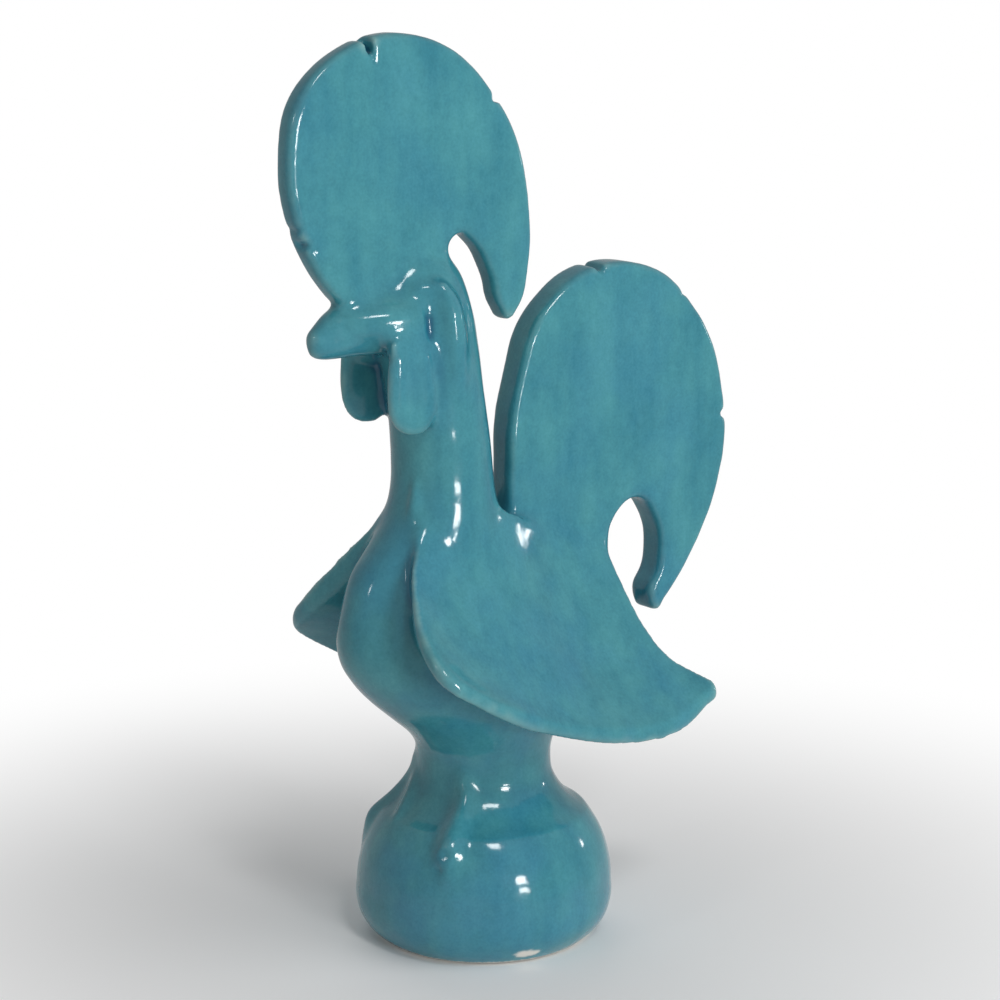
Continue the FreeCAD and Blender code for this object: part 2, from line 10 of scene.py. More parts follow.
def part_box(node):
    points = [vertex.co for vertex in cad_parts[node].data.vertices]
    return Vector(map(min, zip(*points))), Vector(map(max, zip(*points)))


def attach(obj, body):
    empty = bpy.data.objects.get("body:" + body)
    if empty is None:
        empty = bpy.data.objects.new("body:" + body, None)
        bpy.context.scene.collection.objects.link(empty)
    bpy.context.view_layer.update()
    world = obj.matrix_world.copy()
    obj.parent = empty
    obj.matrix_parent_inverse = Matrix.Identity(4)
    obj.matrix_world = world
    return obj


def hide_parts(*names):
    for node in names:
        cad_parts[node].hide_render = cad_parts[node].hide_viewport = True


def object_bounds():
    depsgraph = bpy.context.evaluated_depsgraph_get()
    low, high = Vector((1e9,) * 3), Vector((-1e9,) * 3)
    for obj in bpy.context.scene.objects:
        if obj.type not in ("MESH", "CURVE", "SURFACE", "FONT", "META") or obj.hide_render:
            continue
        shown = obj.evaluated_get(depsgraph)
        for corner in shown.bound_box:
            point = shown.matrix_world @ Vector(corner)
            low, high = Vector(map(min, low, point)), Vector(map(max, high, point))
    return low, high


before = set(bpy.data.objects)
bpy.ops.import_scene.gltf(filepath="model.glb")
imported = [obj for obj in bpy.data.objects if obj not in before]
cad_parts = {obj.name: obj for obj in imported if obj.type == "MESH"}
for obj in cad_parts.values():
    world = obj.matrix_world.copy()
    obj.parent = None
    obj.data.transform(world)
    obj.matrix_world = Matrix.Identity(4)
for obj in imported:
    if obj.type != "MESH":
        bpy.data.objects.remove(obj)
cad_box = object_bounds()

MM = 0.001

# Grain of the meshes: of the finished clay, of what is cut before it is joined, of the tools
# that press pits, and of the spaces in which parts are cut off
CLAY_GRAIN = 0.85 * MM
WATTLE_GRAIN = 0.6 * MM
TOOL_GRAIN = 0.5 * MM
SPACE_GRAIN = 1.5 * MM

# Points nearer than this are one: in a plain part, and in a part that was cut off the clay.
# There a hole with up to this many edges is closed.
WELD = 0.002 * MM
SLIVER = 0.02 * MM
LARGEST_HOLE = 40

# Below this a length or an area times itself counts as none, and a weight as not worth keeping
NO_LENGTH, NO_AREA, NO_WEIGHT = 1e-9, 1e-24, 0.01

# Passes of the damp finger over wing rims, joints and hollows, and over the whole skin before
# and after the pits are pressed
RIM_PASSES = 24
JOINT_PASSES = 90
HOLLOW_PASSES = 60
SKIN_PASSES = 4
LAST_PASSES = 7

# A point's bulge is how far, in millimetres, it stands out of the skin round it. The skin round
# it is what this many passes along the edges even out, and the result is softened by a few more.
BULGE_PASSES = 14
BULGE_SOFT_PASSES = 4

# Bulge at which the finger starts to work on a rim and in a hollow, and how much more of it
# takes the full number of passes
RIM_BULGE, RIM_SPAN = 0.08, 0.25
HOLLOW_BULGE, HOLLOW_SPAN = -0.05, 0.15
HOLLOW_SPREAD_PASSES, HOLLOW_GAIN = 5, 1.5

# Where lumps were pressed on and wiped round, in millimetres: heights on the head and how far
# back there, and heights at the waist
HEAD_HEIGHTS, HEAD_BACK = (196, 229), -16
WAIST_HEIGHTS = (47, 68)

# Skin this near to a plain part, in millimetres, belongs to it
SKIN_REACH = 1.5

# Unevenness of hand-pressed clay, in millimetres, which fades out towards the ground
WAVE_DEPTH, WAVE_LENGTH = 0.55, 24.0
RIPPLE_DEPTH, RIPPLE_LENGTH = 0.16, 8.0
RIPPLE_START = Vector((7, 3, 1))
GROUND_FADE = 4 * MM

# How far from the joint, in millimetres, each part is smoothed into what carries it
JOINT_REACH = {
    "base_bell": 7.0, "body": 9.0, "comb": 9.0, "tail": 6.5, "wing_left": 10.0, "wing_right": 10.0,
    "beak": 5.0, "wattle_left": 4.5, "wattle_right": 4.5, "ear_fold_left": 5.0,
    "ear_fold_right": 5.0, "leg_left": 4.0, "leg_right": 4.0,
}

# The order in which parts are cut off the finished clay, each with how far, in millimetres, its
# skin reaches past the plain part
SPLIT = (
    ("ear_fold_left", 1.6), ("ear_fold_right", 1.6),
    ("leg_left", 2.6), ("leg_right", 2.6),
    ("wattle_left", 1.8), ("wattle_right", 1.8),
    ("beak", 3.4),
    ("comb", 2.6),
    ("tail", 2.6),
    ("wing_left", 3.0), ("wing_right", 3.0),
)
FOOT_SPACE = 200 * MM

# Rolls of clay, as points with x, y, z and radius. What both sides have is given for the left.
# The leg is a ridge that runs down the foot from the waist and ends in a knob.
LEG_RIDGE = (
    (14.0, -15.6, 61.0, 2.2), (15.5, -17.9, 53.0, 3.2), (18.8, -23.2, 45.0, 3.9),
    (21.3, -27.8, 39.0, 5.9), (22.1, -29.4, 34.0, 5.4), (22.5, -30.4, 29.0, 2.8),
)
FAR_LEG_SLIMMER = 0.7
# The root of the beak widens back to the crease, and carries the wattle
CHEEK_ROLL = (
    (1.6, -53.0, 210.4, 6.0), (4.8, -45.0, 210.8, 6.9),
    (7.4, -37.0, 211.2, 7.3), (8.4, -30.5, 211.6, 7.0),
)
# The ear fold arches forward over the cheek
EAR_ARCH = (
    (14.0, -22.5, 211.0, 2.4), (12.2, -24.0, 218.5, 3.2),
    (9.6, -28.5, 221.5, 3.2), (8.0, -34.0, 219.0, 2.0),
)
# The beak is thicker and blunter than a plain cone
BEAK_ROLL = (
    (0.0, -46.0, 212.0, 7.4), (0.0, -53.0, 210.4, 7.0),
    (0.0, -58.5, 208.6, 5.6), (0.0, -63.0, 206.4, 3.6),
)
# Soft edge down the front of the neck, where thumb and fingers flattened it
NECK_EDGE = (
    (6.6, -30.8, 160.0, 0.9), (7.2, -31.8, 147.0, 2.9),
    (8.6, -33.4, 134.0, 2.7), (10.0, -34.4, 122.0, 0.9),
)
# Faint ridge down the front of the foot
FOOT_RIDGE = ((-9.7, -18.3, 57.0, 2.4), (-5.3, -25.1, 48.0, 3.0), (-2.9, -33.1, 40.0, 3.2))

# Lumps, pits and scrapes, each as its middle, its three radii and its turn in degrees about X, Y
# and Z. What both sides have is given for the left.
UPRIGHT = (0, 0, 0)
CHEEK_LUMP = ((11.2, -37.2, 203.0), (4.2, 7.0, 7.4), UPRIGHT)
BEAK_TIP = ((0.0, -63.0, 206.2), (3.8, 3.2, 4.0), UPRIGHT)
# What is wiped off the top of a wattle, so that it thins out onto the cheek
WATTLE_WIPE = ((21.6, -38.0, 212.0), (8.0, 16.0, 16.0), UPRIGHT)
# Two nail marks in the rim of the comb, at its top and low on its front, each with a shallow
# scrape that runs on from it, and a pit where the left wattle meets the cheek
NEAR_PITS = (
    ((2.6, -45.2, 297.0), (4.4, 1.5, 4.6), (12, 0, 0)),
    ((4.8, -44.0, 291.6), (1.4, 0.9, 3.6), (14, 0, 0)),
    ((2.8, -70.6, 236.6), (4.6, 3.6, 1.6), (-14, 0, 10)),
    ((4.9, -65.6, 234.6), (1.3, 3.2, 0.9), (20, 0, 0)),
    ((17.0, -43.6, 203.0), (2.0, 2.4, 1.5), UPRIGHT),
)
# The crease between the root of the beak and the head, and a thumb's hollow in the wattle
PAIRED_PITS = (
    ((14.2, -30.0, 211.0), (1.5, 1.5, 8.0), (6, 0, 0)),
    ((19.4, -37.0, 189.5), (3.4, 6.6, 11.0), (-8, 0, 0)),
)
# Dents over the knob of the near leg
KNOB_DENTS = (
    ((25.8, -34.2, 39.2), (3.3, 3.3, 3.0), UPRIGHT),
    ((27.0, -30.0, 43.6), (2.6, 2.6, 3.4), UPRIGHT),
    ((23.3, -35.8, 33.6), (2.9, 2.9, 2.6), UPRIGHT),
    ((28.9, -31.0, 35.4), (2.5, 2.5, 2.5), UPRIGHT),
    ((20.6, -34.0, 41.2), (2.2, 2.2, 2.2), UPRIGHT),
)

# Clay that the glaze leaves bare, inside the foot and on the standing ring, and a pale matt patch
# over the ring in the colour of bare clay.
# A normal's part along the way out is under the first limit where skin faces in, and its part
# along the way up is under the second where skin faces down.
BARE_INSIDE_HEIGHT = 60 * MM
RING_HEIGHT = 1.1 * MM
FACES_IN, FACES_DOWN = -0.05, -0.6
PALE_PATCH_PLACE, PALE_PATCH_RADII = (38.6, -9.6, 4.2), (3.0, 4.6, 1.6)

# Colours of the glaze and of the clay
GLAZE_DEEP = "#2F7989"
GLAZE_LIGHT = "#489199"
GLAZE_BLUE = "#2A7398"
# Thin glaze on the rims, paler there also as a painted highlight along them
GLAZE_THIN_RIM_HIGHLIGHT = "#93B8B4"
# Pooled glaze in hollows and creases, darker there also as painted shade
GLAZE_POOLED_SHADE = "#10506E"
CLAY_BARE = "#E4DFD6"
PAPER = "#F7F7F7"

# Sizes in the glaze: clouds of its thickness, runs that fell 55 mm while it was wet, mottle,
# specks, bluer patches, and the orange peel of the fired surface
CLOUD_SIZE = 22 * MM
RUN_WIDTH, RUN_FLATTENING = 9 * MM, 0.16
MOTTLE_SIZE = 3 * MM
SPECK_SIZE = 0.9 * MM
PATCH_SIZE = 40 * MM
PEEL_SIZE, PEEL_DEPTH, PEEL_STRENGTH = 5 * MM, 0.6 * MM, 0.10

# Strength of runs against clouds, and of specks against mottle
RUN_SHARE, SPECK_SHARE = 0.50, 0.45

# Noise at which the glaze is deepest and lightest, and at which a patch starts and is full
DEEP_NOISE, LIGHT_NOISE = 0.34, 0.66
PATCH_NOISES = (0.42, 0.66)

# Patches are stronger low down, where the glaze ran to: heights, and strength at each
PATCH_HEIGHTS, PATCH_SHARES = (20 * MM, 240 * MM), (0.42, 0.16)

# What the darkest and the lightest fine mottle do to red, green and blue
MOTTLE_DARK = (0.60, 0.74, 0.77, 1)
MOTTLE_LIGHT = (1.40, 1.26, 1.23, 1)

# Bulge over which the glaze thins out on rims and is painted paler there as a highlight, and pools
# in hollows and is painted darker there as shade, and how far each goes
THIN_HIGHLIGHT_BULGES, THIN_HIGHLIGHT_SHARE = (0.22, 0.80), 0.80
POOL_SHADE_BULGES, POOL_SHADE_SHARE = (-0.05, -0.42), 0.85

GLAZE_ROUGHNESS, CLAY_ROUGHNESS = 0.11, 0.75
GLAZE_IOR = 1.52

# The paper fades to white between these distances from the rooster, and the glaze mirrors it
# at this strength
PAPER_FADE = (70 * MM, 360 * MM)
PAPER_MIRRORED = 0.44
PAPER_ROUGHNESS = 0.9
PAPER_WIDTH = 12.0

# Strength of the room's light all round, and what the glaze mirrors of it on top of that
ROOM_LIGHT = 0.26
ROOM_MIRRORED = 0.18

# Lamps: compass angle from straight ahead and height angle in degrees, width and height in
# metres, power in watts, and whether the glaze mirrors the lamp. The pale wall and the room
# light the rooster without showing in the glaze.
LAMPS = (
    ("window_low", 89, 7, 0.30, 0.24, 5.9, True),
    ("window_sill", 90, -3.5, 0.20, 0.10, 1.6, True),
    ("window_high", 76, 46, 0.26, 0.28, 3.8, True),
    ("door", 8, 24, 0.07, 0.26, 0.7, True),
    ("far_window", 167, 5, 0.07, 0.09, 0.4, True),
    ("wall", 122, 28, 1.20, 1.00, 7.0, False),
    ("room", 250, 30, 1.20, 1.00, 4.5, False),
)
LAMP_AWAY = 1.5
LAMP_TARGET = Vector((0.0, 0.0, 150 * MM))

# The photograph's viewing angle in degrees, the distance, and the lens and sensor in millimetres
CAMERA_ROUND, CAMERA_UP = 55, 12
CAMERA_AWAY = 900 * MM
CAMERA_TARGET = Vector((0.0, 6.63 * MM, 147.01 * MM))
CAMERA_LENS, CAMERA_SENSOR = 98.3, 36


def deselect():
    for item in bpy.context.selected_objects:
        item.select_set(False)


def activate(piece):
    deselect()
    piece.select_set(True)
    bpy.context.view_layer.objects.active = piece


def apply(piece, kind, **settings):
    """Adds one modifier, sets it and applies it."""
    activate(piece)
    modifier = piece.modifiers.new(kind.lower(), kind)
    for key, value in settings.items():
        setattr(modifier, key, value)
    bpy.ops.object.modifier_apply(modifier=modifier.name)


def remesh(piece, grain):
    """Makes one even skin round all that a piece holds."""
    apply(piece, "REMESH", mode="VOXEL", voxel_size=grain)


def cut(piece, tool, operation):
    apply(piece, "BOOLEAN", operation=operation, solver="MANIFOLD", object=tool)


def copy_of(piece, name):
    other = piece.copy()
    other.data = piece.data.copy()
    other.name = name
    bpy.context.scene.collection.objects.link(other)
    return other


def clay_copy(node):
    """A closed copy of a plain clay part, ready to be worked."""
    piece = copy_of(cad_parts[node], "clay_" + node)
    piece.parent = None
    piece.hide_render = False
    piece.data.materials.clear()
    activate(piece)
    bpy.ops.object.mode_set(mode="EDIT")
    bpy.ops.mesh.select_all(action="SELECT")
    bpy.ops.mesh.remove_doubles(threshold=WELD)
    bpy.ops.object.mode_set(mode="OBJECT")
    return piece


def join(pieces, name):
    deselect()
    for piece in pieces:
        piece.select_set(True)
    bpy.context.view_layer.objects.active = pieces[0]
    bpy.ops.object.join()
    pieces[0].name = name
    return pieces[0]


def ball(place, radii, turn):
    """Lump of clay, or the tool that presses a pit: a sphere drawn out to three radii."""
    deselect()
    bpy.ops.mesh.primitive_ico_sphere_add(subdivisions=4, radius=1.0)
    piece = bpy.context.active_object
    spin = Matrix.Rotation(math.radians(turn[2]), 3, "Z") @ Matrix.Rotation(
        math.radians(turn[1]), 3, "Y") @ Matrix.Rotation(math.radians(turn[0]), 3, "X")
    for vertex in piece.data.vertices:
        drawn = Vector((vertex.co.x * radii[0], vertex.co.y * radii[1], vertex.co.z * radii[2]))
        vertex.co = (spin @ drawn + Vector(place)) * MM
    return piece


def ball_on(side, place, radii, turn):
    """A ball that the left side has, or its twin on the right."""
    return ball((side * place[0], place[1], place[2]), radii, turn)


def roll(points, side=1, slimmer=0.0):
    """Roll of clay through points with a radius each, with round ends."""
    curve = bpy.data.curves.new("roll", "CURVE")
    curve.dimensions = "3D"
    curve.bevel_depth = MM
    curve.bevel_resolution = 5
    curve.use_fill_caps = True
    spline = curve.splines.new("NURBS")
    spline.points.add(len(points) - 1)
    for point, (x, y, z, radius) in zip(spline.points, points):
        point.co = (side * x * MM, y * MM, z * MM, 1.0)
        point.radius = radius - slimmer
    spline.order_u = 3
    spline.use_endpoint_u = True
    spline.resolution_u = 8
    piece = bpy.data.objects.new("roll", curve)
    bpy.context.scene.collection.objects.link(piece)
    activate(piece)
    bpy.ops.object.convert(target="MESH")
    return bpy.context.active_object


def read_points(mesh):
    points = np.empty(len(mesh.vertices) * 3, np.float32)
    mesh.vertices.foreach_get("co", points)
    return points.reshape(-1, 3)


def read_normals(mesh):
    normals = np.empty(len(mesh.vertices) * 3, np.float32)
    mesh.vertex_normals.foreach_get("vector", normals)
    return normals.reshape(-1, 3)


def read_edges(mesh):
    edges = np.empty(len(mesh.edges) * 2, np.int32)
    mesh.edges.foreach_get("vertices", edges)
    return edges.reshape(-1, 2)


def read_corners(mesh):
    """The three points of each triangle."""
    corners = np.empty(len(mesh.polygons) * 3, np.int32)
    mesh.polygons.foreach_get("vertices", corners)
    return corners.reshape(-1, 3)


def spread(values, edges, passes):
    """Values evened out along the mesh's edges."""
    count = np.bincount(edges.ravel(), minlength=len(values))
    for _ in range(passes):
        total = np.bincount(edges[:, 0], values[edges[:, 1]], len(values))
        total += np.bincount(edges[:, 1], values[edges[:, 0]], len(values))
        values = 0.5 * values + 0.5 * total / np.maximum(count, 1)
    return values


def bulge_of(mesh):
    """How far each point stands out of the skin round it: above 0 on rims, below 0 in hollows."""
    edges = read_edges(mesh)
    points = read_points(mesh).astype(float)
    normals = read_normals(mesh).astype(float)
    evened = np.stack([spread(points[:, axis], edges, BULGE_PASSES) for axis in range(3)], 1)
    return spread(((points - evened) * normals).sum(1) / MM, edges, BULGE_SOFT_PASSES)


def surface_of(node):
    """Nearest-point finder for a plain clay part."""
    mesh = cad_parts[node].data
    triangles = [tuple(polygon.vertices) for polygon in mesh.polygons]
    return BVHTree.FromPolygons([vertex.co.copy() for vertex in mesh.vertices], triangles)


def joint_weights(piece):
    """1 on the joint of two parts, falling to 0 at the joint's reach."""
    finders = {node: surface_of(node) for node in JOINT_REACH}
    points = read_points(piece.data)
    weights = np.zeros(len(points))
    for index, point in enumerate(points):
        place = Vector(point)
        near = []
        for node, finder in finders.items():
            reach = JOINT_REACH[node] * MM
            found = finder.find_nearest(place, reach)
            if found[0] is not None:
                near.append((found[3], reach))
        if len(near) > 1:
            near.sort()
            second, reach = near[1]
            reach = min(reach, near[0][1])
            share = max(0.0, 1.0 - second / reach)
            weights[index] = share * share * (3 - 2 * share)
    return weights


def rim_weights(piece, nodes):
    """1 on the rims of some parts and 0 on their faces."""
    finders = [surface_of(node) for node in nodes]
    weights = np.clip((bulge_of(piece.data) - RIM_BULGE) / RIM_SPAN, 0, 1)
    points = read_points(piece.data)
    for index in np.nonzero(weights > 0)[0]:
        place = Vector(points[index])
        if all(finder.find_nearest(place, SKIN_REACH * MM)[0] is None for finder in finders):
            weights[index] = 0
    return weights


def hollow_weights(piece):
    """1 in the hollows of head and waist, where lumps of clay were pressed on and wiped round."""
    points = read_points(piece.data) / MM
    height = points[:, 2]
    head = (height > HEAD_HEIGHTS[0]) & (height < HEAD_HEIGHTS[1]) & (points[:, 1] < HEAD_BACK)
    waist = (height > WAIST_HEIGHTS[0]) & (height < WAIST_HEIGHTS[1])
    weights = np.clip((HOLLOW_BULGE - bulge_of(piece.data)) / HOLLOW_SPAN, 0, 1) * (head | waist)
    weights = spread(weights, read_edges(piece.data), HOLLOW_SPREAD_PASSES)
    return np.clip(weights * HOLLOW_GAIN, 0, 1)


def wipe(piece, passes, name="", weights=None):
    """Works the clay with a damp finger, all over or where a group has weights."""
    if weights is not None:
        group = piece.vertex_groups.new(name=name)
        for index in np.nonzero(weights > NO_WEIGHT)[0]:
            group.add([int(index)], float(weights[index]), "REPLACE")
    apply(piece, "SMOOTH", factor=0.5, iterations=passes, vertex_group=name)


def press(piece, tools):
    """Pits and scrapes: the tools are taken out of the clay."""
    tool = join(tools, "tool")
    remesh(tool, TOOL_GRAIN)
    cut(piece, tool, "DIFFERENCE")
    bpy.data.objects.remove(tool)


def make_uneven(mesh):
    """Moves the skin in and out a little, as hand-pressed clay lies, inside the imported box."""
    points = read_points(mesh)
    normals = read_normals(mesh)
    shift = np.empty(len(points), np.float32)
    for index, point in enumerate(points):
        place = Vector(point) / MM
        shift[index] = (WAVE_DEPTH * noise.noise(place / WAVE_LENGTH)
                        + RIPPLE_DEPTH * noise.noise(place / RIPPLE_LENGTH + RIPPLE_START))
    fade = np.clip(points[:, 2] / GROUND_FADE, 0, 1)
    points = points + normals * (shift * fade * MM)[:, None]
    points = np.clip(points, np.array(cad_box[0]), np.array(cad_box[1]))
    mesh.vertices.foreach_set("co", points.astype(np.float32).ravel())
    mesh.update()


def thin_wattle(wattle, side):
    """Thins the top of a wattle, where it was wiped onto the cheek."""
    remesh(wattle, WATTLE_GRAIN)
    tool = ball_on(side, *WATTLE_WIPE)
    cut(wattle, tool, "DIFFERENCE")
    bpy.data.objects.remove(tool)


def built_clay():
    """All the clay parts with their rolls and lumps, joined to one skin."""
    parts = []
    for node in sorted(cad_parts):
        part = clay_copy(node)
        if node.startswith("wattle"):
            thin_wattle(part, 1 if node.endswith("left") else -1)
        parts.append(part)
    for side, slimmer in ((1, 0.0), (-1, FAR_LEG_SLIMMER)):
        parts += [roll(LEG_RIDGE, side, slimmer), roll(CHEEK_ROLL, side),
                  ball_on(side, *CHEEK_LUMP), roll(EAR_ARCH, side)]
    parts += [roll(BEAK_ROLL), ball(*BEAK_TIP), roll(NECK_EDGE), roll(FOOT_RIDGE)]
    clay = join(parts, "clay")
    remesh(clay, CLAY_GRAIN)
    return clay


def work_clay(clay):
    """Smooths the joints, presses the pits and leaves the skin as uneven as hands do."""
    wipe(clay, RIM_PASSES, "rims", rim_weights(clay, ("wing_left", "wing_right")))
    wipe(clay, JOINT_PASSES, "joints", joint_weights(clay))
    wipe(clay, HOLLOW_PASSES, "hollows", hollow_weights(clay))
    wipe(clay, SKIN_PASSES)
    tools = [ball(*pit) for pit in NEAR_PITS]
    tools += [ball_on(side, *pit) for pit in PAIRED_PITS for side in (1, -1)]
    tools += [ball(*dent) for dent in KNOB_DENTS]
    press(clay, tools)
    remesh(clay, CLAY_GRAIN)
    wipe(clay, LAST_PASSES)
    make_uneven(clay.data)
    bm = bmesh.new()
    bm.from_mesh(clay.data)
    bmesh.ops.triangulate(bm, faces=bm.faces[:])
    bm.to_mesh(clay.data)
    bm.free()


def bare_clay(points, normals):
    """True on the skin that the glaze leaves bare, and on a pale patch low on the foot."""
    outward = points[:, :2] / np.maximum(np.linalg.norm(points[:, :2], axis=1), NO_LENGTH)[:, None]
    faces_in = (normals[:, :2] * outward).sum(1) < FACES_IN
    faces_down = normals[:, 2] < FACES_DOWN
    inside = (points[:, 2] < BARE_INSIDE_HEIGHT) & faces_in
    ring = (points[:, 2] < RING_HEIGHT) & faces_down
    # A pale matt patch low on the foot, in the colour and roughness of bare clay
    pale_patch = np.linalg.norm((points / MM - PALE_PATCH_PLACE) / PALE_PATCH_RADII, axis=1) < 1
    return inside | ring | pale_patch


def read_skin(mesh):
    """The whole skin, with what the glaze reads from it, before it is cut into parts."""
    points = read_points(mesh)
    normals = read_normals(mesh)
    corners = read_corners(mesh)
    bare = bare_clay(points, normals).astype(float)
    return {
        "points": points,
        "normals": normals,
        "corners": corners,
        "finder": BVHTree.FromPolygons([Vector(point) for point in points], corners.tolist()),
        "bulge": bulge_of(mesh),
        "bare": spread(bare, read_edges(mesh), 1),
    }


def region_of(node, reach):
    """Space of a plain clay part and a little round it."""
    space = clay_copy(node)
    remesh(space, SPACE_GRAIN)
    apply(space, "DISPLACE", strength=reach * MM, mid_level=0.0)
    remesh(space, SPACE_GRAIN)
    return space


def foot_space():
    """All that lies below the waist."""
    deselect()
    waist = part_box("base_bell")[1].z
    bpy.ops.mesh.primitive_cube_add(size=FOOT_SPACE, location=(0, 0, waist - FOOT_SPACE / 2))
    return bpy.context.active_object


def take_off(clay, node, space):
    """Cuts what lies in a space off the clay, as a piece of its own."""
    piece = copy_of(clay, node)
    cut(piece, space, "INTERSECT")
    cut(clay, space, "DIFFERENCE")
    bpy.data.objects.remove(space)
    return piece


def clean(mesh):
    """Takes out the slivers and back-to-back faces that cutting leaves, and closes the mesh."""
    bm = bmesh.new()
    bm.from_mesh(mesh)
    bmesh.ops.remove_doubles(bm, verts=bm.verts[:], dist=SLIVER)
    bmesh.ops.dissolve_degenerate(bm, edges=bm.edges[:], dist=SLIVER)
    bmesh.ops.triangulate(bm, faces=bm.faces[:])
    bm.verts.index_update()
    same = {}
    for face in bm.faces:
        same.setdefault(frozenset(vertex.index for vertex in face.verts), []).append(face)
    doubled = [face for faces in same.values() if len(faces) > 1 for face in faces]
    bmesh.ops.delete(bm, geom=doubled, context="FACES")
    open_edges = [edge for edge in bm.edges if edge.is_boundary]
    bmesh.ops.holes_fill(bm, edges=open_edges, sides=LARGEST_HOLE)
    bmesh.ops.triangulate(bm, faces=bm.faces[:])
    loose = [vertex for vertex in bm.verts if not vertex.link_faces]
    bmesh.ops.delete(bm, geom=loose, context="VERTS")
    bm.to_mesh(mesh)
    bm.free()


def shares_of(points, triangles):
    """How much each corner of its triangle counts at each point."""
    first = triangles[:, 1] - triangles[:, 0]
    second = triangles[:, 2] - triangles[:, 0]
    step = points - triangles[:, 0]
    first_first = (first * first).sum(1)
    first_second = (first * second).sum(1)
    second_second = (second * second).sum(1)
    step_first = (step * first).sum(1)
    step_second = (step * second).sum(1)
    area = np.maximum(first_first * second_second - first_second * first_second, NO_AREA)
    along_first = second_second * step_first - first_second * step_second
    along_second = first_first * step_second - first_second * step_first
    second_share = np.clip(along_first / area, 0, 1)
    third_share = np.clip(along_second / area, 0, 1)
    return np.stack([1 - second_share - third_share, second_share, third_share], 1)


def share_skin(mesh, skin):
    """Gives a piece the whole skin's normals and glaze values, so that no joint line shows."""
    points = read_points(mesh)
    nearest = [skin["finder"].find_nearest(Vector(point))[2] for point in points]
    corners = skin["corners"][nearest]
    shares = shares_of(points, skin["points"][corners])
    for name in ("bulge", "bare"):
        values = (skin[name][corners] * shares).sum(1).astype(np.float32)
        mesh.attributes.new(name, "FLOAT", "POINT").data.foreach_set("value", values)
    normals = (skin["normals"][corners] * shares[:, :, None]).sum(1)
    normals /= np.maximum(np.linalg.norm(normals, axis=1), NO_LENGTH)[:, None]
    mesh.polygons.foreach_set("use_smooth", [True] * len(mesh.polygons))
    mesh.normals_split_custom_set_from_vertices(normals.tolist())


def linear(colour):
    """sRGB hex colour as linear red, green and blue."""
    values = [int(colour[index:index + 2], 16) / 255 for index in (1, 3, 5)]
    return tuple(value / 12.92 if value <= 0.04045 else ((value + 0.055) / 1.055) ** 2.4
                 for value in values) + (1.0,)


def add_node(tree, kind, inputs=(), **settings):
    """Adds a node, sets its properties and fills or links its inputs."""
    node = tree.nodes.new("ShaderNode" + kind)
    for key, value in settings.items():
        setattr(node, key, value)
    for key, value in dict(inputs).items():
        if isinstance(value, bpy.types.NodeSocket):
            tree.links.new(value, node.inputs[key])
        else:
            node.inputs[key].default_value = value
    return node


